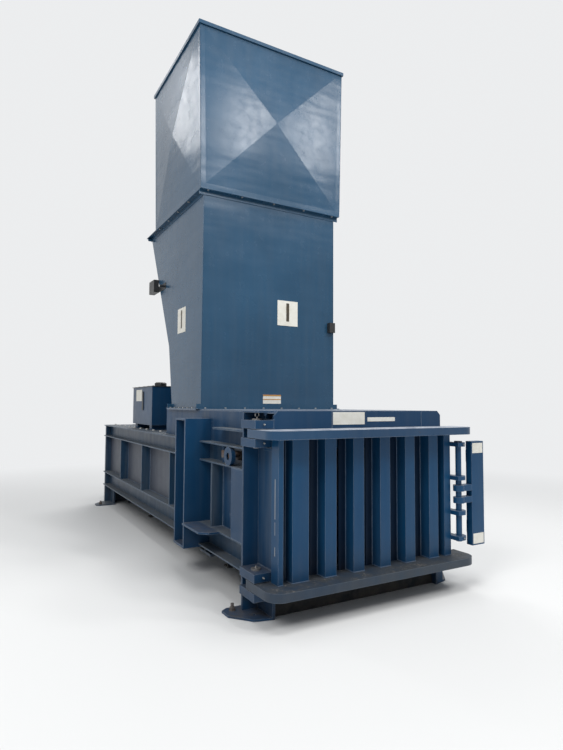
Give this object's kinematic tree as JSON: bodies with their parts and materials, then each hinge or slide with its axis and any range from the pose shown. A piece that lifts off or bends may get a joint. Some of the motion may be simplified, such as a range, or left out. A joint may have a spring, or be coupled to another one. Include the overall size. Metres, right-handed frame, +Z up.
{
  "type": "recycling baler",
  "caption": "Horizontal closed-door baler with a tall bolted feed hopper, a ribbed hinged bale door with a swinging latch, and a hydraulic ram.",
  "frame": {"origin": "on the ground, in the middle of the front sill's underside", "axes": "+X across the machine away from the door's hinges, +Y along the machine from the bale door to the rear, +Z up"},
  "size_m": [2.22, 5.61, 5.265],
  "materials": {
    "painted_blue": "satin",
    "worn_steel": "satin",
    "scuffed_plate": "matte",
    "dark_enamel": "satin",
    "plate_metal": "satin"
  },
  "bodies": {
    "frame": {"floor_plate": "scuffed_plate", "floor_wear_strips": "worn_steel", "side_wall_left": "painted_blue", "side_wall_right": "painted_blue", "wall_liners": "worn_steel", "roof_plate": "scuffed_plate", "roof_stiffeners": "painted_blue", "deck_plate": "painted_blue", "front_top_beam": "painted_blue", "front_sill": "painted_blue", "front_post_left": "painted_blue", "front_post_right": "painted_blue", "side_rails": "painted_blue", "side_ribs": "painted_blue", "mid_columns": "painted_blue", "mid_cross_beams": "painted_blue", "floor_crossmembers": "painted_blue", "rear_posts": "painted_blue", "rear_bulkhead": "painted_blue", "housing_cover": "painted_blue", "throat_frame": "scuffed_plate", "fixed_shear_blade": "worn_steel", "hinge_lugs": "painted_blue", "hinge_pins": "worn_steel", "latch_keeper": "painted_blue", "anchor_bolts": "worn_steel", "lower_hopper": "painted_blue", "upper_hopper": "painted_blue", "hopper_base_flange": "painted_blue", "hopper_mid_flange": "painted_blue", "hopper_top_flange": "painted_blue", "hopper_bolts": "worn_steel", "photo_eyes": "dark_enamel", "number_plates": "plate_metal", "cylinder_barrel": "painted_blue", "cylinder_saddle": "painted_blue", "dog_spring_cans": "worn_steel", "oil_tank": "painted_blue", "tank_fittings": "dark_enamel", "valve_manifold": "worn_steel", "motor": "dark_enamel", "pump": "dark_enamel", "hydraulic_pipes": "worn_steel"},
    "door": {"door_top_plate": "painted_blue", "door_bottom_plate": "painted_blue", "door_ribs": "painted_blue", "door_stiles": "painted_blue", "door_face_plate": "scuffed_plate", "door_latch_lugs": "painted_blue", "latch_pin": "worn_steel"},
    "latch": {"latch_arms": "painted_blue", "latch_bar": "painted_blue"},
    "ram": {"platen": "scuffed_plate", "platen_face_plate": "worn_steel", "ram_shear_blade": "worn_steel", "ram_skirt": "scuffed_plate", "piston_rod": "worn_steel"},
    "dog_left": {"bale_dog_left": "worn_steel"},
    "dog_right": {"bale_dog_right": "worn_steel"},
    "drive": {"drive_coupling": "worn_steel"}
  },
  "joints": [
    {"name": "door_hinge", "type": "hinge", "parent": "frame", "child": "door", "pos_m": [-0.872, 0.01, 0.767], "axis": [0, 0, -1], "range_deg": [0, 110]},
    {"name": "latch_swing", "type": "hinge", "parent": "door", "child": "latch", "pos_m": [0.89, -0.25, 0.767], "axis": [0, 0, 1], "range_deg": [0, 90]},
    {"name": "ram_slide", "type": "slide", "parent": "frame", "child": "ram", "axis": [0, -1, 0], "range_m": [0, 1.34]},
    {"name": "dog_left_swing", "type": "hinge", "parent": "frame", "child": "dog_left", "pos_m": [-0.839, 0.663, 1.096], "axis": [0, 0, -1], "range_deg": [0, 11], "stiffness_Nm_per_rad": 600},
    {"name": "dog_right_swing", "type": "hinge", "parent": "frame", "child": "dog_right", "pos_m": [0.839, 0.663, 1.096], "axis": [0, 0, 1], "range_deg": [0, 11], "stiffness_Nm_per_rad": 600},
    {"name": "drive_spin", "type": "hinge", "parent": "frame", "child": "drive", "pos_m": [0.35, 3.6, 1.39], "axis": [0, 1, 0], "continuous": true}
  ]
}
